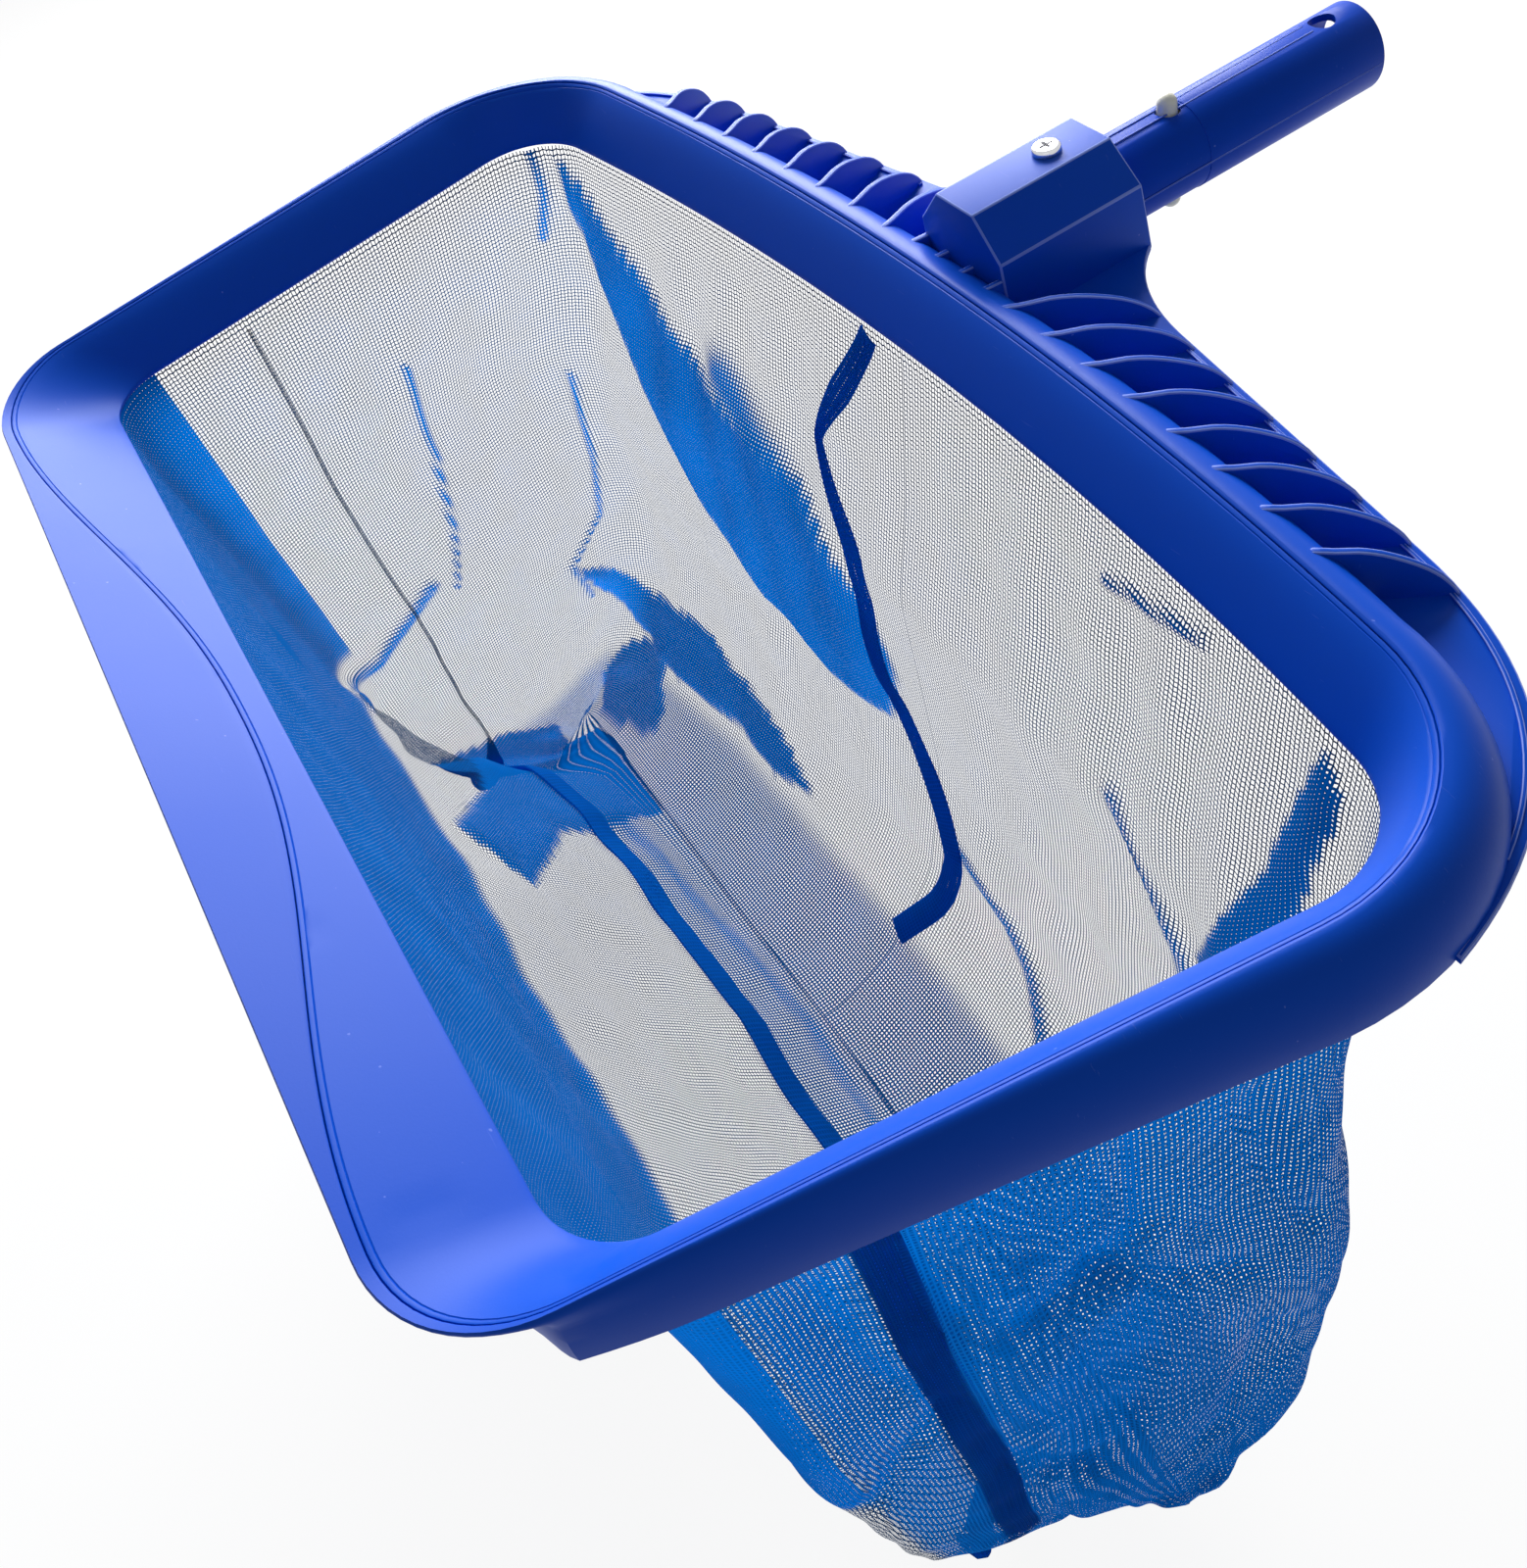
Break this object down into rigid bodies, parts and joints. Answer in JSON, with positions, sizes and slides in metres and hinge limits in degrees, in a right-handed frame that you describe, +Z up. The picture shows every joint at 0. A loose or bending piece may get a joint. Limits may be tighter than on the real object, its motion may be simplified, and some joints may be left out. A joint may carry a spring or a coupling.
{
  "type": "leaf skimmer net",
  "caption": "Pool leaf rake: a moulded scoop frame with a clamp ring, a deep sewn mesh bag, strengthening fins and a tube handle with snap buttons for a pole.",
  "frame": {"origin": "centre of the handle tube's open end, on the tube's axis", "axes": "+Y along the handle, out of its open end; +Z up out of the net's mouth; +X along the scoop lip"},
  "size_m": [0.5102, 0.4301, 0.3504],
  "materials": {
    "frame_plastic": "satin blue moulding",
    "ring_plastic": "satin blue moulding",
    "net_mesh": "fine knitted nylon mesh",
    "seam_mesh": "folded mesh seam",
    "handle_plastic": "satin blue moulding",
    "screw_steel": "bright zinc",
    "clip_plastic": "ivory moulding"
  },
  "bodies": {
    "rake": {"outer_frame": "frame_plastic", "clamp_ring": "ring_plastic", "net_hem": "net_mesh", "net_front_panel": "net_mesh", "net_back_left_panel": "net_mesh", "net_back_right_panel": "net_mesh", "long_seam_band": "seam_mesh", "back_seam_band": "seam_mesh", "handle_tube": "handle_plastic", "handle_screw": "screw_steel", "clip_bend": "clip_plastic"},
    "upper_leg": {"clip_upper_leg": "clip_plastic"},
    "lower_leg": {"clip_lower_leg": "clip_plastic"}
  },
  "joints": [
    {"name": "upper_button_press", "type": "hinge", "parent": "rake", "child": "upper_leg", "pos_m": [0, -0.0238, 0.0045], "axis": [1, 0, 0], "range_deg": [0, 5.5], "stiffness_Nm_per_rad": 2, "springref_deg": -1.72},
    {"name": "lower_button_press", "type": "hinge", "parent": "rake", "child": "lower_leg", "pos_m": [0, -0.0238, -0.0045], "axis": [-1, 0, 0], "range_deg": [0, 5.5], "stiffness_Nm_per_rad": 2, "springref_deg": -1.72}
  ]
}
